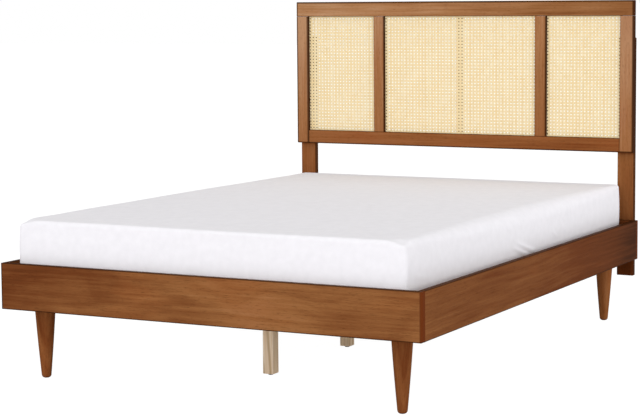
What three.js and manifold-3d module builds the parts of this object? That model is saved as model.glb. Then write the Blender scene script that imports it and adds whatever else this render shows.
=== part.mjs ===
// A low slatted bed with four turned legs and a cane-panelled headboard, with its mattress
// and fitted sheet. Millimetres, +Z up. The head is at +Y and the origin is on the floor,
// under the middle of the whole bed.

import * as THREE from 'three';
import { mergeVertices } from 'three/addons/utils/BufferGeometryUtils.js';
import Module from 'manifold-3d';

const wasm = await Module();
wasm.setup();

// Where two pieces touch they keep this gap
const fit = 0.3;

// The mattress, and the room the frame leaves round it. The frame would take one of
// 1524 by 2032, and the one on it is narrower, bows out at its sides and lies to the left
const mattressWidth = 1488;
const mattressLength = 2032;
const mattressHeight = 200;
const mattressSideGap = 26;
const mattressEndGap = 9;
const mattressShift = 7;
const mattressCorner = 18;
const mattressEdge = 15;
const mattressCrown = 11;
const mattressSwell = 3;
const mattressBow = 11;
const mattressSideRise = 5;
const sheetThickness = 1;
const sheetHemRise = 14;

// Side, foot and head rails
const railThickness = 25;
const railHeight = 159;
const railUnderside = 246;
const railEase = 4;
const endRailCorner = 12;

// Headboard frame and its cane
const headboardInset = 18;
const headboardThickness = 27;
const headboardUnderside = 682;
const headboardEase = 3;
const topRailWidth = 63;
const bottomRailWidth = 58;
const outerStileWidth = 59;
const middleStileWidth = 52;
const openingHeight = 498;
const centreOpeningWidth = 694;
const caneThickness = 2;
const caneSetBack = 10;
const caneGrooveDepth = 8;
const canePitch = 56;
const caneStrand = 20;
const battenWidth = 30;

// Posts behind the headboard and the head rail
const postWidth = 70;
const postThickness = 27;
const postUnderside = 174;
const postTop = 1149;
const postInset = 5;
const postEase = 3;

// Bolts through the posts
const boltDiameter = 8;
const boltHeadDiameter = 18;
const boltHeadHeight = 2.5;
const railBoltSpacing = 80;
const stileBoltMargin = 80;
const boltStop = 5;

// Turned legs and the blocks that carry them
const legTopDiameter = 73;
const legTipDiameter = 33.5;
const legTipRounding = 8.5;
const legInsetSide = 113;
const legInsetEnd = 99;
const blockSize = 230;
const blockNose = 30;
const blockThickness = 40;

// Slats, their ledgers and the centre beam
const slatDrop = 55;
const slatThickness = 18;
const slatWidth = 90;
const slatCount = 12;
const slatEndGap = 60;
const slatEase = 2;
const ledgerWidth = 25;
const ledgerHeight = 30;
const beamWidth = 40;
const beamHeight = 60;
const bracketWall = 2;
const bracketDepth = 40;
const bracketHeight = 50;
const bracketFlange = 18;

// Centre legs and their screw-in glides
const centreLegSide = 40;
const centreLegCount = 3;
const centreLegFootInset = 463;
const centreLegHeadInset = 483;
const glideDiameter = 19;
const glideHeight = 5;
const glideStemDiameter = 8;
const glideStemLength = 30;
const glideHoleSpare = 6;
const glideRim = 1;

// How finely the round forms are divided
const legSides = 24;
const boltSides = 12;
const easeSteps = 2;
const endRailCornerSteps = 3;
const mattressCornerSteps = 4;
const mattressWidthSteps = 6;
const mattressLengthSteps = 8;

// Heights and places that follow from the sizes above
const bedWidth = mattressWidth + 2 * (mattressSideGap + railThickness);
const bedLength = mattressLength + 2 * (mattressEndGap + railThickness);
const headboardWidth = bedWidth - 2 * headboardInset;
const railTop = railUnderside + railHeight;
const footRailInner = railThickness;
const headRailInner = bedLength - railThickness;
const sideRailInner = bedWidth / 2 - railThickness;
const slatTop = railTop - slatDrop;
const slatUnderside = slatTop - slatThickness;
const ledgerTop = slatUnderside - fit;
const blockTop = ledgerTop - ledgerHeight - fit;
const legTop = blockTop - blockThickness - fit;
const beamTop = slatUnderside - fit;
const beamUnderside = beamTop - beamHeight;
const headboardBack = bedLength;
const headboardFront = headboardBack - headboardThickness;
const openingBottom = headboardUnderside + bottomRailWidth;
const openingTop = openingBottom + openingHeight;
const headboardTop = openingTop + topRailWidth;
const postFront = bedLength + fit;
const postBack = postFront + postThickness;
const overallDepth = postBack + fit + boltHeadHeight;

const stainedWood = new THREE.MeshStandardMaterial({ color: 0x87512d, roughness: 0.45, metalness: 0 });
const barePine = new THREE.MeshStandardMaterial({ color: 0xc4ae86, roughness: 0.7, metalness: 0 });
const cane = new THREE.MeshStandardMaterial({ color: 0xe9d0a0, roughness: 0.6, metalness: 0 });
const zincSteel = new THREE.MeshStandardMaterial({ color: 0xb9bcbe, roughness: 0.4, metalness: 1 });
const blackPlastic = new THREE.MeshStandardMaterial({ color: 0x17171a, roughness: 0.5, metalness: 0 });
const ticking = new THREE.MeshStandardMaterial({ color: 0xe6e4e0, roughness: 0.9, metalness: 0 });
const whiteCotton = new THREE.MeshStandardMaterial({ color: 0xf1eff3, roughness: 0.9, metalness: 0 });

const bed = new THREE.Group();
bed.position.y = -overallDepth / 2;

// Puts a piece into the bed, its own centre at x, y, z
function place(name, geometry, material, x, y, z) {
  const mesh = new THREE.Mesh(geometry, material);
  mesh.name = name;
  mesh.position.set(x, y, z);
  bed.add(mesh);
  return mesh;
}

// Turns a closed geometry into a solid that can be cut and joined
function solidOf(geometry) {
  const bare = new THREE.BufferGeometry();
  bare.setAttribute('position', geometry.getAttribute('position'));
  bare.setIndex(geometry.getIndex());
  const merged = mergeVertices(bare, 1e-4);
  const vertProperties = new Float32Array(merged.getAttribute('position').array);
  const triVerts = new Uint32Array(merged.getIndex().array);
  return new wasm.Manifold(new wasm.Mesh({ numProp: 3, vertProperties, triVerts }));
}

function geometryOf(solid) {
  const mesh = solid.getMesh();
  const geometry = new THREE.BufferGeometry();
  geometry.setAttribute('position', new THREE.BufferAttribute(new Float32Array(mesh.vertProperties), 3));
  geometry.setIndex(new THREE.BufferAttribute(new Uint32Array(mesh.triVerts), 1));
  geometry.computeVertexNormals();
  return geometry;
}

// Takes each cutter, placed in the piece's own frame, out of the piece
function cutAway(geometry, cutters) {
  let solid = solidOf(geometry);
  for (const cutter of cutters) {
    solid = solid.subtract(solidOf(cutter));
  }
  return geometryOf(solid);
}

// A rectangle, centred, with its corners rounded unless the radius is 0
function roundedOutline(width, height, radius) {
  const x = width / 2;
  const y = height / 2;
  if (radius === 0) {
    return new THREE.Shape([
      new THREE.Vector2(-x, -y),
      new THREE.Vector2(x, -y),
      new THREE.Vector2(x, y),
      new THREE.Vector2(-x, y),
    ]);
  }
  const outline = new THREE.Shape();
  outline.moveTo(x - radius, -y);
  outline.absarc(x - radius, -y + radius, radius, -Math.PI / 2, 0);
  outline.absarc(x - radius, y - radius, radius, 0, Math.PI / 2);
  outline.absarc(-x + radius, y - radius, radius, Math.PI / 2, Math.PI);
  outline.absarc(-x + radius, -y + radius, radius, Math.PI, Math.PI * 1.5);
  return outline;
}

// An upright board: width along X, thickness along Y, height along Z, all its edges eased
// in the given number of steps. With one step the outline's corners stay square
function board(width, thickness, height, ease, steps = easeSteps) {
  const corner = steps > 1 ? ease * 1.5 : 0;
  const geometry = new THREE.ExtrudeGeometry(roundedOutline(width, height, corner), {
    depth: thickness - 2 * ease,
    bevelEnabled: true,
    bevelThickness: ease,
    bevelSize: ease,
    bevelOffset: -ease,
    bevelSegments: steps,
    curveSegments: 1,
  });
  geometry.rotateX(Math.PI / 2);
  geometry.translate(0, thickness / 2 - ease, 0);
  return geometry;
}

function box(x, y, z) {
  return new THREE.BoxGeometry(x, y, z);
}

// A rod of the given length along Y
function rod(diameter, length) {
  return new THREE.CylinderGeometry(diameter / 2, diameter / 2, length, boltSides);
}

// A solid turned about a vertical line from [radius, height] pairs, from the bottom up
function turned(profile, sides) {
  const points = profile.map(([radius, height]) => new THREE.Vector2(radius, height));
  const geometry = new THREE.LatheGeometry(points, sides);
  geometry.rotateX(Math.PI / 2);
  return geometry;
}

// Holes through the posts for their bolts: two into the head rail and two into the stile
const stileInner = headboardWidth / 2 - outerStileWidth;
const postOuter = headboardWidth / 2 - postInset;
const postInner = postOuter - postWidth;
const boltX = (Math.max(postInner, stileInner + caneGrooveDepth) + Math.min(postOuter, bedWidth / 2)) / 2;
const railMiddle = railUnderside + railHeight / 2;
const railBoltHeights = [railMiddle - railBoltSpacing / 2, railMiddle + railBoltSpacing / 2];
const stileBoltHeights = [headboardUnderside + stileBoltMargin, postTop - stileBoltMargin];
const boltHole = boltDiameter + 2 * fit;

// A cutter for a bolt, reaching past both faces of whatever it is taken from
function boltCutter(x, z, fromY, toY) {
  return rod(boltHole, toY - fromY).translate(x, (fromY + toY) / 2, z);
}

// The four rails. The foot and head rails run the full width and cover the side rails' ends.
// Their outer corners are rounded, and their inner ones square
const endRailPlan = new THREE.Shape();
endRailPlan.moveTo(bedWidth / 2, railThickness / 2);
endRailPlan.lineTo(-bedWidth / 2, railThickness / 2);
endRailPlan.absarc(
  -bedWidth / 2 + endRailCorner,
  -railThickness / 2 + endRailCorner,
  endRailCorner,
  Math.PI,
  Math.PI * 1.5,
);
endRailPlan.absarc(
  bedWidth / 2 - endRailCorner,
  -railThickness / 2 + endRailCorner,
  endRailCorner,
  -Math.PI / 2,
  0,
);
const endRail = new THREE.ExtrudeGeometry(endRailPlan, {
  depth: railHeight - 2 * railEase,
  bevelEnabled: true,
  bevelThickness: railEase,
  bevelSize: railEase,
  bevelOffset: -railEase,
  bevelSegments: easeSteps,
  curveSegments: endRailCornerSteps,
});
endRail.translate(0, 0, railEase - railHeight / 2);
place('foot_rail', endRail, stainedWood, 0, railThickness / 2, railMiddle);

const headRailCutters = [];
for (const side of [-1, 1]) {
  for (const height of railBoltHeights) {
    headRailCutters.push(boltCutter(side * boltX, height - railMiddle, -railThickness, railThickness));
  }
}
const headRail = endRail.clone().rotateZ(Math.PI);
place(
  'head_rail',
  cutAway(headRail, headRailCutters),
  stainedWood,
  0,
  bedLength - railThickness / 2,
  railMiddle,
);

const sideRailLength = headRailInner - footRailInner - 2 * fit;
const sideRail = board(sideRailLength, railThickness, railHeight, railEase);
sideRail.rotateZ(Math.PI / 2);
for (const [name, side] of [['left', -1], ['right', 1]]) {
  place(
    `side_rail_${name}`,
    sideRail,
    stainedWood,
    side * (bedWidth - railThickness) / 2,
    bedLength / 2,
    railMiddle,
  );
}

// A strip of wood along the inside of each side rail, which the slats lie on
const ledger = box(ledgerWidth, sideRailLength, ledgerHeight);
for (const [name, side] of [['left', -1], ['right', 1]]) {
  place(
    `slat_ledger_${name}`,
    ledger,
    barePine,
    side * (sideRailInner - fit - ledgerWidth / 2),
    bedLength / 2,
    ledgerTop - ledgerHeight / 2,
  );
}

// Corner blocks under the ledgers, with a turned leg screwed up into each
const legLength = legTop;
const legProfile = [[0, 0], [legTipDiameter / 2 - legTipRounding, 0]];
const tipSteps = 3;
for (let step = 1; step <= tipSteps; step += 1) {
  const angle = (step / tipSteps) * Math.PI / 2;
  legProfile.push([
    legTipDiameter / 2 - legTipRounding * (1 - Math.sin(angle)),
    legTipRounding * (1 - Math.cos(angle)),
  ]);
}
legProfile.push([legTopDiameter / 2, legLength], [0, legLength]);
const leg = turned(legProfile, legSides);

function cornerBlock(sideX, sideY) {
  const outline = new THREE.Shape([
    new THREE.Vector2(0, 0),
    new THREE.Vector2(sideX * blockSize, 0),
    new THREE.Vector2(sideX * blockSize, sideY * blockNose),
    new THREE.Vector2(sideX * blockNose, sideY * blockSize),
    new THREE.Vector2(0, sideY * blockSize),
  ]);
  return new THREE.ExtrudeGeometry(outline, { depth: blockThickness, bevelEnabled: false });
}

for (const [endName, sideY, blockY, legY] of [
  ['front', 1, footRailInner + fit, legInsetEnd],
  ['rear', -1, headRailInner - fit, bedLength - legInsetEnd],
]) {
  for (const [sideName, side] of [['left', -1], ['right', 1]]) {
    place(
      `corner_block_${endName}_${sideName}`,
      cornerBlock(-side, sideY),
      barePine,
      side * (sideRailInner - fit),
      blockY,
      blockTop - blockThickness,
    );
    place(`leg_${endName}_${sideName}`, leg, stainedWood, side * (bedWidth / 2 - legInsetSide), legY, 0);
  }
}

// The beam down the middle, held at each end in a folded steel cup
const bracketInside = beamWidth + 2 * fit;
const bracketOutside = bracketInside + 2 * bracketWall;
const bracketFloor = beamUnderside - fit - bracketWall;

function beamBracket() {
  const x = bracketOutside / 2;
  const inner = bracketInside / 2;
  const flange = x + bracketFlange;
  const cup = new THREE.Shape([
    new THREE.Vector2(-x, 0),
    new THREE.Vector2(x, 0),
    new THREE.Vector2(x, bracketHeight),
    new THREE.Vector2(inner, bracketHeight),
    new THREE.Vector2(inner, bracketWall),
    new THREE.Vector2(-inner, bracketWall),
    new THREE.Vector2(-inner, bracketHeight),
    new THREE.Vector2(-x, bracketHeight),
  ]);
  const trough = new THREE.ExtrudeGeometry(cup, { depth: bracketDepth, bevelEnabled: false });
  trough.rotateX(Math.PI / 2);
  const plate = box(2 * flange, bracketWall, bracketHeight);
  plate.translate(0, -bracketWall / 2, bracketHeight / 2);
  return geometryOf(solidOf(trough).add(solidOf(plate)));
}

const headBracket = beamBracket();
const footBracket = headBracket.clone().rotateZ(Math.PI);
place('beam_bracket_foot', footBracket, zincSteel, 0, footRailInner + fit, bracketFloor);
place('beam_bracket_head', headBracket, zincSteel, 0, headRailInner - fit, bracketFloor);

const beamLength = headRailInner - footRailInner - 2 * (bracketWall + 2 * fit);
place(
  'centre_beam',
  box(beamWidth, beamLength, beamHeight),
  barePine,
  0,
  bedLength / 2,
  beamTop - beamHeight / 2,
);

// Square legs under the beam, each with a threaded plastic glide in a blind hole
const centreLegBottom = glideHeight + fit;
const centreLegTop = beamUnderside - fit;
const centreLegHeight = centreLegTop - centreLegBottom;
const glideHoleDepth = glideStemLength + glideHoleSpare;
const glideHole = turned(
  [
    [0, -glideHoleDepth],
    [glideStemDiameter / 2 + fit, -glideHoleDepth],
    [glideStemDiameter / 2 + fit, glideHoleDepth],
    [0, glideHoleDepth],
  ],
  boltSides,
);
glideHole.translate(0, 0, -centreLegHeight / 2);
const centreLeg = cutAway(box(centreLegSide, centreLegSide, centreLegHeight), [glideHole]);
const glide = turned(
  [
    [0, 0],
    [glideDiameter / 2 - glideRim, 0],
    [glideDiameter / 2, glideRim],
    [glideDiameter / 2, glideHeight],
    [glideStemDiameter / 2, glideHeight],
    [glideStemDiameter / 2, glideHeight + glideStemLength],
    [0, glideHeight + glideStemLength],
  ],
  boltSides,
);
const centreLegPitch = (bedLength - centreLegFootInset - centreLegHeadInset) / (centreLegCount - 1);
for (let index = 0; index < centreLegCount; index += 1) {
  const y = centreLegFootInset + index * centreLegPitch;
  place(`centre_leg_${index + 1}`, centreLeg, barePine, 0, y, centreLegBottom + centreLegHeight / 2);
  place(`centre_glide_${index + 1}`, glide, blackPlastic, 0, y, 0);
}

// Slats across both ledgers and the beam
const slatLength = 2 * (sideRailInner - 2 * fit);
const slat = board(slatLength, slatThickness, slatWidth, slatEase, 1);
slat.rotateX(Math.PI / 2);
const firstSlat = footRailInner + slatEndGap + slatWidth / 2;
const slatPitch = (bedLength - 2 * firstSlat) / (slatCount - 1);
for (let index = 0; index < slatCount; index += 1) {
  place(
    `slat_${String(index + 1).padStart(2, '0')}`,
    slat,
    barePine,
    0,
    firstSlat + index * slatPitch,
    slatUnderside + slatThickness / 2,
  );
}

// Headboard: three openings between four uprights, with the cane's edge held in a groove
const middleStileX = (centreOpeningWidth + middleStileWidth) / 2;
const sideOpeningInner = centreOpeningWidth / 2 + middleStileWidth;
const sideOpeningWidth = stileInner - sideOpeningInner;
const sideOpeningX = (stileInner + sideOpeningInner) / 2;
const openings = [
  { name: 'left', x: -sideOpeningX, width: sideOpeningWidth },
  { name: 'centre', x: 0, width: centreOpeningWidth },
  { name: 'right', x: sideOpeningX, width: sideOpeningWidth },
];
const openingMiddle = (openingBottom + openingTop) / 2;
const headboardMiddle = (headboardFront + headboardBack) / 2;
const grooveWidth = caneThickness + 2 * fit;
const grooveMiddle = headboardFront + caneSetBack + grooveWidth / 2;

// Cuts the cane grooves, and any bolt holes, into a member whose centre is at x and z
function headboardMember(width, height, x, z, boltHeights) {
  const grooves = openings.map((opening) =>
    box(opening.width + 2 * caneGrooveDepth, grooveWidth, openingHeight + 2 * caneGrooveDepth)
      .translate(opening.x - x, grooveMiddle - headboardMiddle, openingMiddle - z));
  const holes = boltHeights.map((boltHeight) =>
    boltCutter(
      Math.sign(x) * boltX - x,
      boltHeight - z,
      boltStop - headboardThickness / 2,
      headboardThickness,
    ));
  const blank = board(width, headboardThickness, height, headboardEase);
  return cutAway(blank, [...grooves, ...holes]);
}

function placeMember(name, width, height, x, z, boltHeights = []) {
  const geometry = headboardMember(width, height, x, z, boltHeights);
  place(name, geometry, stainedWood, x, headboardMiddle, z);
}

placeMember('headboard_top_rail', headboardWidth, topRailWidth, 0, headboardTop - topRailWidth / 2);
const outerStileTop = openingTop - fit;
const outerStileHeight = outerStileTop - headboardUnderside;
const outerStileX = (headboardWidth - outerStileWidth) / 2;
const middleStileHeight = openingHeight - 2 * fit;
for (const [name, side] of [['left', -1], ['right', 1]]) {
  placeMember(
    `headboard_stile_${name}`,
    outerStileWidth,
    outerStileHeight,
    side * outerStileX,
    outerStileTop - outerStileHeight / 2,
    stileBoltHeights,
  );
  placeMember(
    `headboard_middle_stile_${name}`,
    middleStileWidth,
    middleStileHeight,
    side * middleStileX,
    openingMiddle,
  );
}
placeMember(
  'headboard_bottom_rail',
  2 * (stileInner - fit),
  bottomRailWidth,
  0,
  headboardUnderside + bottomRailWidth / 2,
);

// The places of a net's lines along one side of an opening: its outer edge, then each gap's
// two edges in turn, then its other outer edge
function netLines(openingSize) {
  const count = Math.max(1, Math.round(openingSize / canePitch));
  const step = openingSize / count;
  const edge = openingSize / 2 + caneGrooveDepth - fit;
  const lines = [-edge];
  for (let gap = 0; gap < count; gap += 1) {
    const middle = -openingSize / 2 + (gap + 0.5) * step;
    lines.push(middle - (step - caneStrand) / 2, middle + (step - caneStrand) / 2);
  }
  lines.push(edge);
  return lines;
}

// Cane webbing as a flat net, with its solid margin inside the groove
function caneNet(openingWidth) {
  const xs = netLines(openingWidth);
  const zs = netLines(openingHeight);
  const positions = [];
  for (const y of [-caneThickness / 2, caneThickness / 2]) {
    for (const z of zs) {
      for (const x of xs) {
        positions.push(x, y, z);
      }
    }
  }
  const index = [];
  const at = (column, row, back) => (back * zs.length + row) * xs.length + column;
  const quad = (a, b, c, d) => index.push(a, b, c, a, c, d);
  const isSolid = (column, row) => {
    const outside = column < 0 || row < 0 || column > xs.length - 2 || row > zs.length - 2;
    return !outside && (column % 2 === 0 || row % 2 === 0);
  };
  for (let row = 0; row < zs.length - 1; row += 1) {
    for (let column = 0; column < xs.length - 1; column += 1) {
      if (!isSolid(column, row)) {
        continue;
      }
      const corners = [[column, row], [column + 1, row], [column + 1, row + 1], [column, row + 1]];
      quad(...corners.map(([x, z]) => at(x, z, 0)));
      quad(...corners.map(([x, z]) => at(x, z, 1)).reverse());
      const neighbours = [[column, row - 1], [column + 1, row], [column, row + 1], [column - 1, row]];
      neighbours.forEach(([x, z], side) => {
        if (!isSolid(x, z)) {
          const [fromX, fromZ] = corners[side];
          const [toX, toZ] = corners[(side + 1) % 4];
          quad(at(toX, toZ, 0), at(fromX, fromZ, 0), at(fromX, fromZ, 1), at(toX, toZ, 1));
        }
      });
    }
  }
  const geometry = new THREE.BufferGeometry();
  geometry.setAttribute('position', new THREE.Float32BufferAttribute(positions, 3));
  geometry.setIndex(index);
  geometry.computeVertexNormals();
  return geometry;
}

for (const opening of openings) {
  place(`cane_panel_${opening.name}`, caneNet(opening.width), cane, opening.x, grooveMiddle, openingMiddle);
}

// An upright batten behind the wide cane panel keeps it from bellying
const battenFront = grooveMiddle + caneThickness / 2 + fit;
const battenThickness = headboardBack - battenFront;
place(
  'cane_batten',
  box(battenWidth, battenThickness, openingHeight - 2 * fit),
  stainedWood,
  0,
  battenFront + battenThickness / 2,
  openingMiddle,
);

// The posts, and the bolts through them
const postHeight = postTop - postUnderside;
const postMiddle = (postTop + postUnderside) / 2;
const postX = (postOuter + postInner) / 2;
const railShank = postThickness + fit + railThickness - boltStop;
const stileShank = postThickness + fit + headboardThickness - boltStop;

function bolt(shankLength) {
  const head = rod(boltHeadDiameter, boltHeadHeight).translate(0, boltHeadHeight / 2, 0);
  const shank = rod(boltDiameter, shankLength + boltHeadHeight);
  shank.translate(0, (boltHeadHeight - shankLength) / 2, 0);
  return geometryOf(solidOf(head).add(solidOf(shank)));
}

const railBolt = bolt(railShank);
const stileBolt = bolt(stileShank - fit);
for (const [name, side] of [['left', -1], ['right', 1]]) {
  const holes = [...railBoltHeights, ...stileBoltHeights].map((height) =>
    boltCutter(side * (boltX - postX), height - postMiddle, -postThickness, postThickness));
  const blank = board(postWidth, postThickness, postHeight, postEase);
  place(
    `post_${name}`,
    cutAway(blank, holes),
    stainedWood,
    side * postX,
    postFront + postThickness / 2,
    postMiddle,
  );
  for (const [kind, geometry, heights] of [
    ['rail_bolt', railBolt, railBoltHeights],
    ['stile_bolt', stileBolt, stileBoltHeights],
  ]) {
    place(`${kind}_${name}_lower`, geometry, zincSteel, side * boltX, postBack + fit, heights[0]);
    place(`${kind}_${name}_upper`, geometry, zincSteel, side * boltX, postBack + fit, heights[1]);
  }
}

// One level of the mattress or its sheet: a rounded rectangle whose long sides bow out, and
// rise by rise at their middle, that stands proud of the mattress by grow and is shrunk about
// its centre to share
function level(inset, z, grow, share, rise = 0) {
  const x = mattressWidth / 2 - mattressBow - mattressSwell + grow - inset;
  const y = mattressLength / 2 - mattressSwell + grow - inset;
  const radius = Math.max(mattressCorner + grow - inset, 1);
  const points = [];
  const corners = [[1, -1], [1, 1], [-1, 1], [-1, -1]];
  corners.forEach(([sideX, sideY], index) => {
    const start = (index - 1) * Math.PI / 2;
    for (let step = 0; step <= mattressCornerSteps; step += 1) {
      const angle = start + (step / mattressCornerSteps) * Math.PI / 2;
      points.push([
        sideX * (x - radius) + radius * Math.cos(angle),
        sideY * (y - radius) + radius * Math.sin(angle),
        0,
      ]);
    }
    const alongY = index % 2 === 0;
    const steps = alongY ? mattressLengthSteps : mattressWidthSteps;
    for (let step = 1; step < steps; step += 1) {
      const along = step / steps;
      const arch = Math.sin(along * Math.PI);
      if (alongY) {
        points.push([sideX * (x + mattressBow * arch), sideX * (y - radius) * (2 * along - 1), arch]);
      } else {
        points.push([sideX * (x - radius) * (1 - 2 * along), sideY * y, 0]);
      }
    }
  });
  return points.map(([pointX, pointY, arch]) => [pointX * share, pointY * share, z + rise * arch]);
}

const mattressBottom = slatTop + fit;
const mattressShoulder = mattressBottom + mattressHeight;
const mattressWaist = (mattressBottom + mattressShoulder) / 2;
const mattressWallFoot = mattressBottom + mattressEdge;

// The levels from the side wall up over the rounded top edge and across the crowned top
function upperLevels(grow) {
  const top = mattressShoulder + grow;
  const edge = mattressEdge + grow;
  const levels = [level(-mattressSwell, mattressWaist, grow, 1)];
  const edgeSteps = 3;
  for (let step = 0; step <= edgeSteps; step += 1) {
    const angle = (step / edgeSteps) * Math.PI / 2;
    const inset = edge * (1 - Math.cos(angle));
    levels.push(level(inset, top - edge * (1 - Math.sin(angle)), grow, 1, mattressSideRise));
  }
  for (const share of [0.85, 0.6, 0.3]) {
    const rise = mattressSideRise * share ** 2;
    levels.push(level(edge, top + mattressCrown * (1 - share ** 2), grow, share, rise));
  }
  return levels;
}

// Joins levels into one closed body, ending in a point at the first and the last place
function closedForm(first, levels, last) {
  const count = levels[0].length;
  const positions = [first, ...levels.flat(), last].flat();
  const lastIndex = positions.length / 3 - 1;
  const index = [];
  const at = (row, place) => 1 + row * count + (place % count);
  for (let place = 0; place < count; place += 1) {
    index.push(0, at(0, place + 1), at(0, place));
    for (let row = 0; row < levels.length - 1; row += 1) {
      index.push(at(row, place), at(row, place + 1), at(row + 1, place));
      index.push(at(row, place + 1), at(row + 1, place + 1), at(row + 1, place));
    }
    index.push(at(levels.length - 1, place), at(levels.length - 1, place + 1), lastIndex);
  }
  const geometry = new THREE.BufferGeometry();
  geometry.setAttribute('position', new THREE.Float32BufferAttribute(positions, 3));
  geometry.setIndex(index);
  geometry.computeVertexNormals();
  return geometry;
}

const crownTop = mattressShoulder + mattressCrown;
const mattress = closedForm(
  [0, 0, mattressBottom],
  [
    level(mattressEdge, mattressBottom, 0, 1),
    level(mattressEdge * (1 - Math.SQRT1_2), mattressBottom + mattressEdge * (1 - Math.SQRT1_2), 0, 1),
    level(0, mattressWallFoot, 0, 1),
    ...upperLevels(0),
  ],
  [0, 0, crownTop],
);
place('mattress', mattress, ticking, -mattressShift, bedLength / 2, 0);

const sheetInside = fit;
const sheetOutside = sheetInside + sheetThickness;
const hem = mattressWallFoot + sheetHemRise;
const hemSwell = mattressSwell * sheetHemRise / (mattressWaist - mattressWallFoot);
const sheet = closedForm(
  [0, 0, crownTop + sheetInside],
  [
    ...upperLevels(sheetInside).reverse(),
    level(-hemSwell, hem, sheetInside, 1),
    level(-hemSwell, hem, sheetOutside, 1),
    ...upperLevels(sheetOutside),
  ],
  [0, 0, crownTop + sheetOutside],
);
place('fitted_sheet', sheet, whiteCotton, -mattressShift, bedLength / 2, 0);

export default bed;
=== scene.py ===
# A low bed of stained rubberwood with a headboard of woven cane, with its mattress and fitted
# sheet, made piece by piece in the order in which it is put together. Metres, +Z up, the
# head at +Y.
import math
import random

import bmesh
import bpy
from mathutils import Matrix, Vector, noise


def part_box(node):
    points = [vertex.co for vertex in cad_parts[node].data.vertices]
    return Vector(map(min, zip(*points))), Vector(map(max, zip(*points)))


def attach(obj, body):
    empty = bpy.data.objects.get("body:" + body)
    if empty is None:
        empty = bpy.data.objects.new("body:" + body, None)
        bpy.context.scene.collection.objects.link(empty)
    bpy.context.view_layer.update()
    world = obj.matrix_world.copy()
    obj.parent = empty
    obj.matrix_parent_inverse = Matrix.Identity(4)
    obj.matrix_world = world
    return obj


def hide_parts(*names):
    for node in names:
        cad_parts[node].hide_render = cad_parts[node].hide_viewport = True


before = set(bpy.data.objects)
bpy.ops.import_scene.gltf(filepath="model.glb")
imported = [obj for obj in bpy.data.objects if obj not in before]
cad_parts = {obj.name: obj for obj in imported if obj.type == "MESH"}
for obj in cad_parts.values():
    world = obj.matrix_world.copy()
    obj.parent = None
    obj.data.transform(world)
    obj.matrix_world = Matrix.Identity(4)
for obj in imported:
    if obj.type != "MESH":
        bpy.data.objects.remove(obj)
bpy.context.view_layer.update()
scene = bpy.context.scene


# The camera stands off the right-hand foot corner, level with the top of the cane, and looks
# down slightly. The picture is cut from the left of a wider one, so the lens is shifted.
picture_width = 640
picture_height = 416
focal_length_pixels = 1797.4
lens_axis_across = 410.0
lens_axis_down = 175.65
camera_place = Vector((3.0811, -5.9630, 1.2440))
camera_yaw, camera_pitch, camera_roll = 25.38, 5.112, -0.186

camera = bpy.data.objects.new("camera", bpy.data.cameras.new("camera"))
scene.collection.objects.link(camera)
scene.camera = camera
camera.data.sensor_width = 36.0
camera.data.lens = focal_length_pixels * camera.data.sensor_width / picture_width
camera.data.shift_x = (picture_width / 2 - lens_axis_across) / picture_width
camera.data.shift_y = (lens_axis_down - picture_height / 2) / picture_width
camera.matrix_world = (
    Matrix.Translation(camera_place)
    @ Matrix.Rotation(math.radians(camera_yaw), 4, "Z")
    @ Matrix.Rotation(math.radians(90 - camera_pitch), 4, "X")
    @ Matrix.Rotation(math.radians(camera_roll), 4, "Z")
)


# The studio: a seamless white floor and backdrop, with a soft box beyond the foot and one to
# the right. The floor shows almost white and keeps only a faint shadow under the bed.
def linear(colour):
    """An sRGB hex colour as linear red, green, blue and alpha"""
    channels = [int(colour[start : start + 2], 16) / 255 for start in (1, 3, 5)]
    return [c / 12.92 if c <= 0.04045 else ((c + 0.055) / 1.055) ** 2.4 for c in channels] + [1.0]


def add(tree, kind, inputs=None, stops=None, **settings):
    """Adds a node, with its inputs as values, sockets or nodes, which give their first output,
    and its ramp's colours by position"""
    node = tree.nodes.new(kind)
    for name, value in settings.items():
        setattr(node, name, value)
    for socket, value in (inputs or {}).items():
        if isinstance(value, bpy.types.Node):
            value = next(output for output in value.outputs if output.enabled)
        if isinstance(value, bpy.types.NodeSocket):
            tree.links.new(value, node.inputs[socket])
        else:
            node.inputs[socket].default_value = value
    for index, (position, colour) in enumerate((stops or {}).items()):
        ramp = node.color_ramp.elements
        stop = ramp[index] if index < len(ramp) else ramp.new(position)
        stop.position = position
        stop.color = linear(colour)
    return node


def blank(name):
    """A new material and its empty node tree"""
    made = bpy.data.materials.new(name)
    made.use_nodes = True
    made.node_tree.nodes.clear()
    return made, made.node_tree


def mesh_object(name, vertices, faces):
    """A new object at the origin from vertices and faces"""
    mesh = bpy.data.meshes.new(name)
    mesh.from_pydata(vertices, [], faces)
    mesh.update()
    made = bpy.data.objects.new(name, mesh)
    scene.collection.objects.link(made)
    return made


scene.view_settings.view_transform = "Standard"
backdrop_white = 1.0
world = bpy.data.worlds.new("studio")
scene.world = world
world.use_nodes = True
tree = world.node_tree
tree.nodes.clear()
ray = add(tree, "ShaderNodeLightPath")
towards = add(tree, "ShaderNodeTexCoord")
# The room is brightest above the right-hand foot corner and falls off towards the far wall
brightest_way = (0.3, -0.75, 0.59)
far_wall_level = 0.11
near_side_level = 1.11
leaning = add(
    tree,
    "ShaderNodeVectorMath",
    {0: towards.outputs["Generated"], 1: brightest_way},
    operation="DOT_PRODUCT",
)
room = add(
    tree,
    "ShaderNodeMapRange",
    {"Value": leaning, "From Min": -1.0, "To Min": far_wall_level, "To Max": near_side_level},
)
brightness = add(
    tree,
    "ShaderNodeMix",
    {"Factor": ray.outputs["Is Camera Ray"], "A": room, "B": backdrop_white},
    data_type="FLOAT",
)
backdrop = add(tree, "ShaderNodeBackground", {"Color": linear("#FFFFFF"), "Strength": brightness})
add(tree, "ShaderNodeOutputWorld", {"Surface": backdrop})

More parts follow.
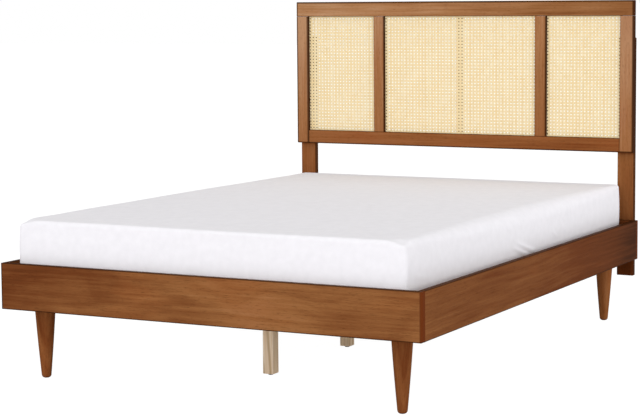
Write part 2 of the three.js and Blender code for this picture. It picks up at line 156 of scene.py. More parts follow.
floor_size = 120.0
floor_glow = 1.12
glow_share = 0.88
floor = mesh_object(
    "floor",
    [(x * floor_size / 2, y * floor_size / 2, 0) for x, y in ((-1, -1), (1, -1), (1, 1), (-1, 1))],
    [(0, 1, 2, 3)],
)
white_floor, tree = blank("white_studio_floor")
ray = add(tree, "ShaderNodeLightPath")
lit = add(tree, "ShaderNodeBsdfDiffuse", {"Color": linear("#EFEFF1")})
glow = add(tree, "ShaderNodeEmission", {"Color": linear("#FFFFFF"), "Strength": floor_glow})
share = add(tree, "ShaderNodeMath", {0: ray.outputs["Is Camera Ray"], 1: glow_share}, operation="MULTIPLY")
both = add(tree, "ShaderNodeMixShader", {"Fac": share, 1: lit, 2: glow})
add(tree, "ShaderNodeOutputMaterial", {"Surface": both})
floor.data.materials.append(white_floor)


def soft_box(name, place, target, width, height, power, colour):
    """A rectangular soft light at place, turned to face target"""
    light = bpy.data.lights.new(name, "AREA")
    light.shape = "RECTANGLE"
    light.size = width
    light.size_y = height
    light.energy = power
    light.color = linear(colour)[:3]
    holder = bpy.data.objects.new(name, light)
    scene.collection.objects.link(holder)
    holder.location = place
    holder.rotation_euler = (Vector(target) - Vector(place)).to_track_quat("-Z", "Y").to_euler()


soft_box("front_light", (0.4, -10.5, 1.5), (0, 0, 0.6), 4.0, 3.0, 186.0, "#FFFFFF")
soft_box("right_light", (8.5, 2.6, 1.4), (0.4, 0.8, 0.5), 4.0, 3.0, 155.0, "#FFFFFF")


# The four rails are planed boards. The foot and head rails run the full width and cover the
# ends of the side rails. They are rubberwood, stained a warm walnut brown and sprayed with
# satin lacquer, with every edge rounded.
def settled(piece):
    """Turns a piece's modifiers into its mesh"""
    depsgraph = bpy.context.evaluated_depsgraph_get()
    made = bpy.data.meshes.new_from_object(piece.evaluated_get(depsgraph))
    piece.modifiers.clear()
    piece.data = made
    return piece


def smoothed(piece, sharpest=32.0):
    """Shades a piece smooth but for its sharp edges, with its flat faces kept flat"""
    piece.data.shade_smooth()
    piece.data.set_sharp_from_angle(angle=math.radians(sharpest))
    weighted = piece.modifiers.new("flat_faces", "WEIGHTED_NORMAL")
    weighted.keep_sharp = True
    return settled(piece)


broken = 0.0004
bevel_segments = 5
same_place = 1e-6


def board(name, low, high, ease, others=None):
    """A board that fills the box from low to high, its edges rounded by ease. others gives
    the rounding of the edges that lie wholly on a side, such as -x, or on two, as -x-y."""
    corners = [(x, y, z) for z in (low[2], high[2]) for y in (low[1], high[1]) for x in (low[0], high[0])]
    sides = [(0, 2, 3, 1), (4, 5, 7, 6), (0, 1, 5, 4), (2, 6, 7, 3), (0, 4, 6, 2), (1, 3, 7, 5)]
    piece = mesh_object(name, corners, sides)
    limits = {}
    for axis, letter in enumerate("xyz"):
        limits["-" + letter] = (axis, low[axis])
        limits["+" + letter] = (axis, high[axis])
    widest = max([ease, *(others or {}).values()])
    weights = piece.data.attributes.new("bevel_weight_edge", "FLOAT", "EDGE")
    for edge in piece.data.edges:
        ends = [piece.data.vertices[index].co for index in edge.vertices]
        on = set()
        for side, (axis, at) in limits.items():
            if all(abs(end[axis] - at) < same_place for end in ends):
                on.add(side)
        rounding = ease
        for place, own in (others or {}).items():
            if {place[start : start + 2] for start in range(0, len(place), 2)} <= on:
                rounding = own
        weights.data[edge.index].value = rounding / widest
    bevel = piece.modifiers.new("eased_edges", "BEVEL")
    bevel.limit_method = "WEIGHT"
    bevel.offset_type = "OFFSET"
    bevel.width = widest
    bevel.segments = bevel_segments
    return settled(piece)


def cut(piece, cutters):
    """Takes each cutter out of a piece, and the cutters out of the scene"""
    for cutter in cutters:
        taken = piece.modifiers.new("cut", "BOOLEAN")
        taken.operation = "DIFFERENCE"
        taken.solver = "EXACT"
        taken.object = cutter
    settled(piece)
    for cutter in cutters:
        bpy.data.objects.remove(cutter)
    return piece


# How to turn places so that X runs along each grain
grain_turn = {"x": (0, 0, 0), "y": (0, 0, -math.pi / 2), "z": (0, math.pi / 2, 0)}


def sawn_along(tree, grain, pith, stretch, detail, roughness, reach, middle):
    """Turns places so that X runs along grain, and says how far each lay from the heart of
    the tree, at pith across the grain. Noise of a stretch, detail and roughness makes that
    distance wander by a share, reach, of its value less middle."""
    place = add(tree, "ShaderNodeTexCoord")
    turn = grain_turn[grain]
    along = add(tree, "ShaderNodeMapping", {"Vector": place.outputs["Object"], "Rotation": turn})
    wander_at = add(tree, "ShaderNodeMapping", {"Vector": along, "Scale": stretch})
    noise_settings = {"Vector": wander_at, "Scale": 1.0, "Detail": detail, "Roughness": roughness}
    wander = add(tree, "ShaderNodeTexNoise", noise_settings).outputs["Color"]
    shift = add(tree, "ShaderNodeVectorMath", {0: wander, 1: (middle,) * 3}, operation="SUBTRACT")
    shift = add(tree, "ShaderNodeVectorMath", {0: shift, "Scale": reach}, operation="SCALE")
    heart = {"Vector": along, "Location": (0, -pith[0], -pith[1]), "Scale": (0, 1, 1)}
    from_pith = add(tree, "ShaderNodeMapping", heart)
    ring_at = add(tree, "ShaderNodeVectorMath", {0: from_pith, 1: shift}, operation="ADD")
    return place, along, add(tree, "ShaderNodeVectorMath", {0: ring_at}, operation="LENGTH")


def stained_rubberwood(name, grain, pith, tones, wide=None, warmth=0.0, shade_rims=(), contrast=1.0):
    """Rubberwood along grain, stained walnut and lacquered: soft darker growth lines and
    streaks that follow the board, open pores, and darker end grain. pith is where the heart
    of the tree lay, across the grain, in metres. tones says how light the board is at places
    along its grain, from 0 to 1, as (place, tone) pairs. wide is the axis that the board's
    wide faces look along; its narrow sides and rounded edges are painted darker, as painted
    shade. warmth is the share of a redder stain, and rims lists the free edges, as an axis,
    a place on it and a width, along which a dark line of painted shade is laid. contrast is
    how strong its lines are, 1 for a plain board."""
    material, tree = blank(name)
    # The board's lines wander by about 8 mm over half a metre
    place, along, radius = sawn_along(tree, grain, pith, (1.9, 3.2, 3.2), 2.0, 0.45, 0.05, 0.5)
    # Growth lines are really 2 to 4 mm apart. They are drawn about 11 mm apart so that they
    # show, with finer ones in the noise's own detail
    ring_pitch = 0.011
    change_along = 1.3
    split = add(tree, "ShaderNodeSeparateXYZ", {"Vector": along})
    rings_per_metre = add(tree, "ShaderNodeMath", {0: radius, 1: 1 / ring_pitch}, operation="MULTIPLY")
    slow_along = add(tree, "ShaderNodeMath", {0: split.outputs["X"], 1: change_along}, operation="MULTIPLY")
    ring_vector = add(tree, "ShaderNodeCombineXYZ", {"X": rings_per_metre, "Y": slow_along})
    rings = add(
        tree, "ShaderNodeTexNoise", {"Vector": ring_vector, "Scale": 1.0, "Detail": 3.0, "Roughness": 0.6}
    )
    # Streaks of the stain are about 9 mm wide and 250 mm long, and patches that took more or
    # less of it about 90 by 300 mm. Pores are short dark dashes, really 0.2 mm wide, here
    # 1 mm by 20 mm
    layers = []
    streak, patch, pore = (4, 115, 115), (3.2, 11, 11), (45, 900, 900)
    for stretch, detail, roughness in ((streak, 3.0, 0.55), (patch, 2.0, 0.5), (pore, 1.0, 0.5)):
        at = add(tree, "ShaderNodeMapping", {"Vector": along, "Scale": stretch})
        noise_settings = {"Vector": at, "Scale": 1.0, "Detail": detail, "Roughness": roughness}
        layers.append(add(tree, "ShaderNodeTexNoise", noise_settings))
    streaks, patches, pores = layers
    figure = rings
    for share, layer in ((0.42, streaks), (0.3, patches)):
        mixed = {"Factor": share, "A": figure, "B": layer}
        figure = add(tree, "ShaderNodeMix", mixed, data_type="FLOAT")
    depth = add(
        tree,
        "ShaderNodeMath",
        {0: figure, 1: contrast, 2: tones[0][1] - 0.5 * contrast},
        operation="MULTIPLY_ADD",
    )
    for (start, before), (end, after) in zip(tones, tones[1:]):
        change = add(
            tree,
            "ShaderNodeMapRange",
            {"Value": split.outputs["X"], "From Min": start, "From Max": end, "To Max": after - before},
        )
        depth = add(tree, "ShaderNodeMath", {0: depth, 1: change}, operation="ADD")
    colour = add(
        tree,
        "ShaderNodeValToRGB",
        {"Fac": depth},
        stops={
            0.10: "#402210",
            0.34: "#6B3A1D",
            0.46: "#804F2C",
            0.56: "#926038",
            0.74: "#AA784F",
            0.90: "#BE926D",
        },
    )
    redder = add(
        tree,
        "ShaderNodeMapRange",
        {"Value": patches, "From Min": 0.45, "From Max": 0.7, "To Min": warmth, "To Max": warmth + 0.3},
    )
    open_pores = add(
        tree, "ShaderNodeMapRange", {"Value": pores, "From Min": 0.6, "From Max": 0.72, "To Max": 0.5}
    )
    # Each tint goes over the ones before it, with the share that a node gives
    tints = [(redder, "#8A441C"), (open_pores, "#4A2812")]
    # A board's narrow sides and rounded edges are painted darker, as painted shade, and its end grain is
    # darker since it drinks more stain
    facing = add(tree, "ShaderNodeSeparateXYZ", {"Vector": place.outputs["Normal"]})
    shaded_sides_and_end_grain = [(wide, 0.99, 0.8, 0.8, "#361A08")] if wide else []
    shaded_sides_and_end_grain.append((grain, 0.3, 0.7, 0.85, "#6E3416"))
    for axis, none_at, full_at, most, tint in shaded_sides_and_end_grain:
        turned_to = add(tree, "ShaderNodeMath", {0: facing.outputs[axis.upper()]}, operation="ABSOLUTE")
        side_darkening = {"Value": turned_to, "From Min": none_at, "From Max": full_at, "To Max": most}
        tints.append((add(tree, "ShaderNodeMapRange", side_darkening), tint))
    # Dark lines of painted shade along the free edges listed in rims
    shade_rim_share = 0.85
    spot = add(tree, "ShaderNodeSeparateXYZ", {"Vector": place.outputs["Object"]})
    for axis, at, width in shade_rims:
        away = add(tree, "ShaderNodeMath", {0: spot.outputs[axis], 1: at}, operation="SUBTRACT")
        away = add(tree, "ShaderNodeMath", {0: away}, operation="ABSOLUTE")
        shaded_rim = {"Value": away, "From Min": width, "From Max": width / 2, "To Max": shade_rim_share}
        tints.append((add(tree, "ShaderNodeMapRange", shaded_rim), "#361A08"))
    for share, tint in tints:
        mixed = {"Factor": share, "A": colour, "B": linear(tint)}
        colour = add(tree, "ShaderNodeMix", mixed, data_type="RGBA")
    sheen = add(tree, "ShaderNodeMapRange", {"Value": streaks, "To Min": 0.46, "To Max": 0.34})
    grooves = add(tree, "ShaderNodeMath", {0: streaks, 1: open_pores}, operation="SUBTRACT")
    relief = add(tree, "ShaderNodeBump", {"Height": grooves, "Strength": 0.25, "Distance": 0.0004})
    surface = add(
        tree,
        "ShaderNodeBsdfPrincipled",
        {
            "Base Color": colour,
            "Roughness": sheen,
            "Specular IOR Level": 0.005,
            "IOR": 1.5,
            "Normal": relief,
        },
    )
    add(tree, "ShaderNodeOutputMaterial", {"Surface": surface})
    return material


def along_board(node, grain, start_tone, end_tone):
    """Tones that run evenly from one end of a node to the other"""
    axis = "xyz".index(grain)
    low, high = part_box(node)
    return [(low[axis], start_tone), (high[axis], end_tone)]


def dressed(piece, material, body="bed_frame"):
    """Gives a piece its only material and the body that it moves with"""
    piece.data.materials.clear()
    piece.data.materials.append(material)
    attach(piece, body)


def rides(piece, node, material, body="bed_frame"):
    """Dresses a piece that stands for a CAD node of the same place"""
    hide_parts(node)
    dressed(piece, material, body)


rail_ease = 0.004
bolt_hole_radius = 0.0043
bolt_end_clear = 0.0003
cut_past = 0.01


def round_cutter(x, z, radius, from_y, to_y):
    """A cutter for a round hole along Y"""
    corners = 32
    turns = [index * 2 * math.pi / corners for index in range(corners)]
    ring = [(x + radius * math.cos(turn), z + radius * math.sin(turn)) for turn in turns]
    vertices = [(a, y, b) for y in (from_y, to_y) for a, b in ring]
    faces = [tuple(range(corners)), tuple(reversed(range(corners, 2 * corners)))]
    faces += [(i + corners, (i + 1) % corners + corners, (i + 1) % corners, i) for i in range(corners)]
    return mesh_object("cutter", vertices, faces)


def bolt_cutters(node, names):
    """A cutter through a board for each bolt, at the bolt's own place"""
    low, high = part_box(node)
    cutters = []
    for name in names:
        bolt_low, bolt_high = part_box(name)
        x = (bolt_low.x + bolt_high.x) / 2
        z = (bolt_low.z + bolt_high.z) / 2
        start = max(bolt_low.y - bolt_end_clear, low.y - cut_past)
        cutters.append(round_cutter(x, z, bolt_hole_radius, start, high.y + cut_past))
    return cutters


sides = ("left", "right")
heights = ("lower", "upper")
outer_corner = 0.012
under_shade_rim = 0.005
end_shade_rim = 0.012
foot_corners = {"-x-y": outer_corner, "+x-y": outer_corner, "-x+y": broken, "+x+y": broken}
head_corners = {"-x+y": outer_corner, "+x+y": outer_corner, "-x-y": broken, "+x-y": broken}
rail_bolts = [f"rail_bolt_{side}_{height}" for side in sides for height in heights]
# How light each rail is, as (place along it, tone): each is cut from another board. The right rail darkens
# towards the head as painted shade, where less light reaches it.
foot_tones = [(-0.795, 0.385), (-0.13, 0.48), (0.40, 0.535), (0.795, 0.48)]
head_tones = [(-0.795, 0.45), (0.795, 0.35)]
left_tones = [(-1.0, 0.42), (1.0, 0.36)]
right_tones_shaded = [(-1.05, 0.455), (0.20, 0.385), (0.60, 0.31), (1.05, 0.11)]
# For each rail its grain, the heart of its tree, its tones, its share of redder stain, the
# edges that are rounded otherwise than the rest, and the bolts that go through it
rails = {
    "foot_rail": ("x", (0.06, 0.19), foot_tones, -0.1, foot_corners, ()),
    "head_rail": ("x", (0.98, 0.28), head_tones, 0.0, head_corners, rail_bolts),
    "side_rail_left": ("y", (0.70, 0.22), left_tones, 0.0, {"-y": broken, "+y": broken}, ()),
    "side_rail_right": ("y", (-0.69, 0.20), right_tones_shaded, -0.2, {"-y": broken, "+y": broken}, ()),
}
for node, (grain, pith, tones, warmth, others, bolts) in rails.items():
    low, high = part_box(node)
    piece = board(node + "_board", low, high, rail_ease, others)
    if bolts:
        cut(piece, bolt_cutters(node, bolts))
    smoothed(piece)
    wide = "y" if grain == "x" else "x"
    # A dark line of painted shade runs along each rail's lower edge, and along the left end of the foot and
    # head rails, which faces away from the light
    shade_rims = [("Z", low.z, under_shade_rim)]
    if grain == "x":
        shade_rims.append(("X", low.x, end_shade_rim))
    # The side rails are of plainer wood
    contrast = 1.0 if grain == "x" else 0.6
    wood = stained_rubberwood("stained_" + node, grain, pith, tones, wide, warmth, shade_rims, contrast)
    rides(piece, node, wood)


# Inside the rails everything is bare pine, planed and left unfinished: ledgers under the
# slats' ends, a block in each corner, a beam down the middle and twelve slats across.
def planed_pine(name, grain, pith, dark="#BFA67C", pale="#DCCBA4"):
    """Pine, planed and left bare: pale straw with fine darker growth lines, dull. dark and
    pale are the colours between which its fibres vary."""
    material, tree = blank(name)
    _, along, radius = sawn_along(tree, grain, pith, (2.4, 5, 5), 1.0, 0.5, 0.03, 0.0)
    # Growth lines 6 mm apart, as in quickly grown pine
    ring_pitch = 0.006
    turns = add(tree, "ShaderNodeMath", {0: radius, 1: 2 * math.pi / ring_pitch}, operation="MULTIPLY")
    lines = add(tree, "ShaderNodeMath", {0: turns}, operation="SINE")
    late_wood = add(
        tree, "ShaderNodeMapRange", {"Value": lines, "From Min": 0.1, "From Max": 1.0, "To Max": 0.6}
    )
    # Fibres are really 0.03 mm wide, here 4.5 mm wide and 170 mm long
    fibre_at = add(tree, "ShaderNodeMapping", {"Vector": along, "Scale": (6, 220, 220)})
    fibres = add(
        tree, "ShaderNodeTexNoise", {"Vector": fibre_at, "Scale": 1.0, "Detail": 3.0, "Roughness": 0.6}
    )
    early_wood = add(tree, "ShaderNodeValToRGB", {"Fac": fibres}, stops={0.3: dark, 0.7: pale})
    lined = add(
        tree,
        "ShaderNodeMix",
        {"Factor": late_wood, "A": early_wood, "B": linear("#B38F5C")},
        data_type="RGBA",
    )
    relief = add(tree, "ShaderNodeBump", {"Height": fibres, "Strength": 0.3, "Distance": 0.0005})
    surface = add(
        tree,
        "ShaderNodeBsdfPrincipled",
        {"Base Color": lined, "Roughness": 0.72, "IOR": 1.5, "Specular IOR Level": 0.35, "Normal": relief},
    )
    add(tree, "ShaderNodeOutputMaterial", {"Surface": surface})
    return material


sawn_ease = 0.0015
pine_pith = (0.021, 0.155)
pine = {grain: planed_pine("planed_pine_along_" + grain, grain, pine_pith) for grain in "xy"}
for node, shape in (
    ("slat_ledger_left", "_batten"),
    ("slat_ledger_right", "_batten"),
    ("centre_beam", "_joist"),
):
    piece = smoothed(board(node + shape, *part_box(node), sawn_ease))
    rides(piece, node, pine["y"])

slat_ease = 0.002
slat_count = 12
for index in range(slat_count):
    node = f"slat_{index + 1:02d}"
    piece = smoothed(board(node + "_board", *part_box(node), slat_ease))
    # Each slat is cut from another board
    pith = (index * 0.17 - 0.9, 0.27 + 0.013 * index)
    rides(piece, node, planed_pine("planed_pine_" + node, "x", pith))

# Each block fills its corner of the frame and is cut off across its inner corner
block_nose = 0.030
for end, end_sign in (("front", 1), ("rear", -1)):
    for side, side_sign in (("left", 1), ("right", -1)):
        node = f"corner_block_{end}_{side}"
        low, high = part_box(node)
        corner_x, far_x = (low.x, high.x) if side_sign > 0 else (high.x, low.x)
        corner_y, far_y = (low.y, high.y) if end_sign > 0 else (high.y, low.y)
        outline = [
            (corner_x, corner_y),
            (far_x, corner_y),
            (far_x, corner_y + end_sign * block_nose),
            (corner_x + side_sign * block_nose, far_y),
            (corner_x, far_y),
        ]
        if side_sign * end_sign < 0:
            outline.reverse()
        count = len(outline)
        vertices = [(x, y, z) for z in (low.z, high.z) for x, y in outline]
        faces = [tuple(reversed(range(count))), tuple(range(count, 2 * count))]
        faces += [(i, (i + 1) % count, (i + 1) % count + count, i + count) for i in range(count)]
        piece = mesh_object(node + "_plate", vertices, faces)
        eased = piece.modifiers.new("eased_edges", "BEVEL")
        eased.width = sawn_ease
        eased.segments = 2
        smoothed(settled(piece))
        rides(piece, node, pine["x"])


# The beam's ends sit in folded steel cups, screwed to the foot and head rails, and the slats
# are screwed to the ledgers. All of it is zinc plated.
def zinc_plated_steel(name):
    """Steel, bright zinc plated: pale bluish metal, clouded where the plating is uneven"""
    material, tree = blank(name)
    place = add(tree, "ShaderNodeTexCoord")
    # Clouds in the plating about 4 mm across
    clouds = add(
        tree, "ShaderNodeTexNoise", {"Vector": place.outputs["Object"], "Scale": 250.0, "Detail": 3.0}
    )
    colour = add(tree, "ShaderNodeValToRGB", {"Fac": clouds}, stops={0.35: "#A9ADB2", 0.65: "#CDD0D0"})
    rough = add(tree, "ShaderNodeMapRange", {"Value": clouds, "To Min": 0.28, "To Max": 0.48})
    surface = add(
        tree, "ShaderNodeBsdfPrincipled", {"Base Color": colour, "Metallic": 1.0, "Roughness": rough}
    )
    add(tree, "ShaderNodeOutputMaterial", {"Surface": surface})
    return material


zinc = zinc_plated_steel("zinc_plated_steel")
for end in ("foot", "head"):
    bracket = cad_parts["beam_bracket_" + end]
    bracket.data.materials.clear()
    bracket.data.materials.append(zinc)


def turned(name, profile, centre, axis, steps=48):
    """A closed body turned about a line through centre, from (radius, distance) pairs. The
    first and last radius are 0."""
    vertices = []
    for radius, distance in profile[1:-1]:
        for step in range(steps):
            turn = step * 2 * math.pi / steps
            vertices.append((radius * math.cos(turn), radius * math.sin(turn), distance))
    first = len(vertices)
    vertices += [(0, 0, profile[0][1]), (0, 0, profile[-1][1])]
    faces = []
    rows = len(profile) - 2
    for step in range(steps):
        after = (step + 1) % steps
        faces.append((first, after, step))
        for row in range(rows - 1):
            near = row * steps
            faces.append((near + step, near + after, near + steps + after, near + steps + step))
        last = (rows - 1) * steps
        faces.append((last + step, last + after, first + 1))
    turn = Vector((0, 0, 1)).rotation_difference(Vector(axis)).to_matrix()
    return mesh_object(name, [turn @ Vector(v) + Vector(centre) for v in vertices], faces)


def joined(name, parts):
    """Joins objects into one piece"""
    body = bmesh.new()
    for part in parts:
        body.from_mesh(part.data)
        bpy.data.objects.remove(part)
    mesh = bpy.data.meshes.new(name)
    body.to_mesh(mesh)
    body.free()
    made = bpy.data.objects.new(name, mesh)
    scene.collection.objects.link(made)
    return made


screw_radius = 0.0038
screw_dome = 0.0002


def screw_head(centre, axis):
    """A countersunk screw's head, just proud of the wood, with a socket for the driver"""
    recess = 0.0016
    profile = [
        (0, -0.002),
        (screw_radius * 0.6, -0.002),
        (screw_radius, -0.0001),
        (screw_radius * 0.8, screw_dome),
        (recess, screw_dome),
        (recess * 0.7, -0.0012),
        (0, -0.0014),
    ]
    return turned("screw", profile, centre, axis, steps=20)


heads = []
ledger_low, ledger_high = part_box("slat_ledger_right")
for index in range(slat_count):
    low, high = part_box(f"slat_{index + 1:02d}")
    x = (ledger_low.x + ledger_high.x) / 2
    for sign in (-1, 1):
        heads.append(screw_head((sign * x, (low.y + high.y) / 2, high.z), (0, 0, 1)))
dressed(smoothed(joined("slat_screws", heads)), zinc)

bracket_plate = 0.002
bracket_screw_inset = 0.009
heads = []
for end, facing in (("foot", 1), ("head", -1)):
    low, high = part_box("beam_bracket_" + end)
    y = (low.y if facing > 0 else high.y) + facing * bracket_plate
    for sign in (-1, 1):
        for share in (0.25, 0.75):
            x = sign * (high.x - bracket_screw_inset)
            z = low.z + share * (high.z - low.z)
            heads.append(screw_head((x, y, z), (0, facing, 0)))
dressed(smoothed(joined("beam_bracket_screws", heads)), zinc)


# Four round legs, turned from solid rubberwood with a slight belly, tapering to a rounded
# tip, and stained like the rails. Each screws up into its corner block.
leg_belly = 0.0009
leg_tip_radius = 0.01675
leg_tip_round = 0.0115
leg_rings = 22
tip_rings = 6
for end in ("front", "rear"):
    for side in sides:
        node = f"leg_{end}_{side}"
        low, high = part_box(node)
        top_radius = (high.x - low.x) / 2
        height = high.z - low.z
        profile = [(0, 0), (leg_tip_radius - leg_tip_round, 0)]
        for step in range(1, tip_rings + 1):
            turn = step / tip_rings * math.pi / 2
            radius = leg_tip_radius - leg_tip_round * (1 - math.sin(turn))
            profile.append((radius, leg_tip_round * (1 - math.cos(turn))))
        for step in range(1, leg_rings + 1):
            share = step / leg_rings
            radius = leg_tip_radius + (top_radius - leg_tip_radius) * share
            radius += leg_belly * math.sin(share * math.pi)
            profile.append((radius, leg_tip_round + (height - leg_tip_round) * share))
        profile.append((0, height))
        centre = ((low.x + high.x) / 2, (low.y + high.y) / 2, low.z)
        piece = smoothed(turned(node + "_turned", profile, centre, (0, 0, 1), steps=72))
        # The heart of the tree lies just outside each leg
        pith = (centre[1] + 0.03, -centre[0] + 0.025)
        # The rear legs are painted lighter than the front ones, as painted light that lifts them out of the
        # shade under the bed
        tone, warmth = (0.43, 0.1) if end == "front" else (0.58, 0.25)
        tones = along_board(node, "z", tone, tone)
        wood = stained_rubberwood("stained_" + node, "z", pith, tones, warmth=warmth)
        rides(piece, node, wood)


# Three square legs of bare pine carry the beam. Each ends in a black polyethylene glide on a
# threaded stem, which screws in and out of a blind hole to level the beam.
def moulded_polyethylene(name):
    """Black polyethylene, injection moulded: near black, with a dull waxy sheen"""
    material, tree = blank(name)
    place = add(tree, "ShaderNodeTexCoord")
    # A moulded grain 0.5 mm across
    grain = add(
        tree, "ShaderNodeTexNoise", {"Vector": place.outputs["Object"], "Scale": 2000.0, "Detail": 2.0}
    )
    colour = add(tree, "ShaderNodeValToRGB", {"Fac": grain}, stops={0.3: "#121214", 0.7: "#1E1E21"})
    relief = add(tree, "ShaderNodeBump", {"Height": grain, "Strength": 0.2, "Distance": 0.0001})
    surface = add(
        tree,
        "ShaderNodeBsdfPrincipled",
        {
            "Base Color": colour,
            "Roughness": 0.48,
            "IOR": 1.51,
            "Specular IOR Level": 0.25,
            "Normal": relief,
        },
    )
    add(tree, "ShaderNodeOutputMaterial", {"Surface": surface})
    return material


black_plastic = moulded_polyethylene("moulded_polyethylene")
# The centre legs are painted paler and pinker than the other pine, as painted light that lifts them out of
# the shade under the bed
lightened_pine = planed_pine("planed_pine_painted_light", "z", pine_pith, "#EBCBA6", "#FBE8D0")
glide_collar = 0.005
stem_radius = 0.004
stem_hole_radius = 0.0043
stem_hole_depth = 0.036
stem_thread = 0.0015
stem_root = 0.0035
for index in range(3):
    node, glide_node = f"centre_leg_{index + 1}", f"centre_glide_{index + 1}"
    low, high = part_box(node)
    glide_low, glide_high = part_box(glide_node)
    middle = ((low.x + high.x) / 2, (low.y + high.y) / 2)
    profile = [(0, -stem_hole_depth), (stem_hole_radius, -stem_hole_depth)]
    profile += [(stem_hole_radius, stem_hole_depth), (0, stem_hole_depth)]
    hole = turned("cutter", profile, (*middle, low.z), (0, 0, 1))
    piece = smoothed(cut(board(node + "_post", low, high, sawn_ease), [hole]))
    rides(piece, node, lightened_pine)

    radius = (glide_high.x - glide_low.x) / 2
    top = glide_high.z - glide_low.z
    profile = [(0, 0), (radius * 0.75, 0), (radius - 0.0012, 0.0004), (radius - 0.0003, 0.0015)]
    profile += [(radius, 0.003), (radius, glide_collar - 0.0004), (radius - 0.0004, glide_collar)]
    profile.append((stem_radius, glide_collar))
    for turn_index in range(round((top - glide_collar - 0.002) / stem_thread)):
        start = glide_collar + 0.001 + turn_index * stem_thread
        profile += [(stem_radius, start + 0.0003), (stem_root, start + stem_thread * 0.6)]
    profile += [(stem_root, top), (0, top)]
    glide = smoothed(turned(glide_node + "_moulded", profile, (*middle, glide_low.z), (0, 0, 1)))
    rides(glide, glide_node, black_plastic, glide_node)


# The headboard is a frame of stained rubberwood: a top rail across the whole width, two outer
# and two middle stiles, and a bottom rail between the outer stiles. A groove round each
# opening holds the cane.
headboard_ease = 0.003
groove_ease = 0.00001
groove_spare = 0.0003
openings = ("left", "centre", "right")


def groove_cutters(low, high):
    """The cane panels' own places, as cutters for the grooves, where they meet a board that
    lies from low to high"""
    cutters = []
    for opening in openings:
        cane_low, cane_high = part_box("cane_panel_" + opening)
        cane_low = cane_low - Vector((groove_spare,) * 3)
        cane_high = cane_high + Vector((groove_spare,) * 3)
        if all(cane_low[axis] < high[axis] and cane_high[axis] > low[axis] for axis in range(3)):
            cutters.append(board("cutter", cane_low, cane_high, groove_ease))
    return cutters


# For each member its grain, the heart of its tree, its tones from end to end, its share of redder stain,
# and the edges that aren't rounded since another member meets them. The tones are painted light: the stiles
# grow lighter towards the top and the rails towards the left, painted light and a painted sheen where the
# light falls brightest on the headboard.
members = {
    "headboard_top_rail": ("x", (1.12, -1.34), (0.80, 0.56), -0.3, {}),
    "headboard_bottom_rail": ("x", (1.00, -0.60), (0.63, 0.52), 0.32, {"-x": broken, "+x": broken}),
    "headboard_stile_left": ("z", (1.09, 0.83), (0.67, 0.91), 0.12, {"+z": broken}),
    "headboard_stile_right": ("z", (1.10, -0.80), (0.71, 0.93), 0.22, {"+z": broken}),
    "headboard_middle_stile_left": ("z", (0.98, 0.33), (0.66, 0.85), 0.16, {"-z": broken, "+z": broken}),
    "headboard_middle_stile_right": ("z", (0.97, -0.42), (0.56, 0.76), 0.05, {"-z": broken, "+z": broken}),
}
# A dark line of painted shade runs along the whole headboard's free edges, where they turn from the light,
# and along the edges of the stiles that meet the cane on their right, beside the shaded openings. Each edge
# has its width
left_edge = (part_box("headboard_stile_left")[0].x, 0.0085)
right_edge = (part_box("headboard_stile_right")[1].x, 0.009)
lower_edge = (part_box("headboard_stile_left")[0].z, 0.0065)
upper_edge = (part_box("headboard_top_rail")[1].z, 0.0085)
outer_stile_shade_rim = 0.012
middle_stile_shade_rim = 0.008
for node, (grain, pith, tones, warmth, others) in members.items():
    low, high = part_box(node)
    cutters = groove_cutters(low, high)
    if "headboard_stile" in node:
        side = node.split("_")[-1]
        cutters += bolt_cutters(node, [f"stile_bolt_{side}_{height}" for height in heights])
    piece = cut(board(node + "_board", low, high, headboard_ease, others), cutters)
    smoothed(piece)
    shade_rims = [("X", *left_edge), ("X", *right_edge), ("Z", *lower_edge), ("Z", *upper_edge)]
    if "middle" in node:
        shade_rims.append(("X", high.x, middle_stile_shade_rim))
    elif "left" in node:
        shade_rims.append(("X", high.x, outer_stile_shade_rim))
    tones = along_board(node, grain, *tones)
    wood = stained_rubberwood("stained_" + node, grain, pith, tones, "y", warmth, shade_rims)
    rides(piece, node, wood)


# Cane webbing: split rattan woven in pairs up and across, with two sets of slanting strands
# that lock them and leave eight-sided holes. It is natural, unbleached and unvarnished, and is
# pressed into the groove all round.
def split_rattan(name):
    """Rattan, split and left natural: pale wheat with a soft gloss, each strand a little
    different"""
    material, tree = blank(name)
    tone = add(tree, "ShaderNodeAttribute", attribute_name="strand_tone")
    place = add(tree, "ShaderNodeTexCoord")
    # Blotches of riper cane about 40 mm across
    blotches = add(
        tree,
        "ShaderNodeTexNoise",
        {"Vector": place.outputs["Object"], "Scale": 25.0, "Detail": 3.0, "Roughness": 0.6},
    )
    ripeness = add(
        tree, "ShaderNodeMix", {"Factor": 0.45, "A": tone.outputs["Fac"], "B": blotches}, data_type="FLOAT"
    )
    colour = add(
        tree,
        "ShaderNodeValToRGB",
        {"Fac": ripeness},
        stops={0.2: "#F6DBA5", 0.5: "#F9E3B3", 0.8: "#FBEAC3"},
    )
    surface = add(
        tree,
        "ShaderNodeBsdfPrincipled",
        {"Base Color": colour, "Roughness": 0.5, "IOR": 1.5, "Specular IOR Level": 0.4},
    )
    add(tree, "ShaderNodeOutputMaterial", {"Surface": surface})
    return material


cane = split_rattan("split_rattan")
weave_pitch_across = 0.0149
weave_pitch_up = 0.01365
pair_half_gap = 0.18
pair_width = 0.0049
slant_width = 0.0046
strand_thickness = 0.0007
strand_crown = 0.38
pair_relief = 0.00045
slant_relief = 0.0008
shortest_slant = 0.3
strand_stray = 0.012
random.seed(7)


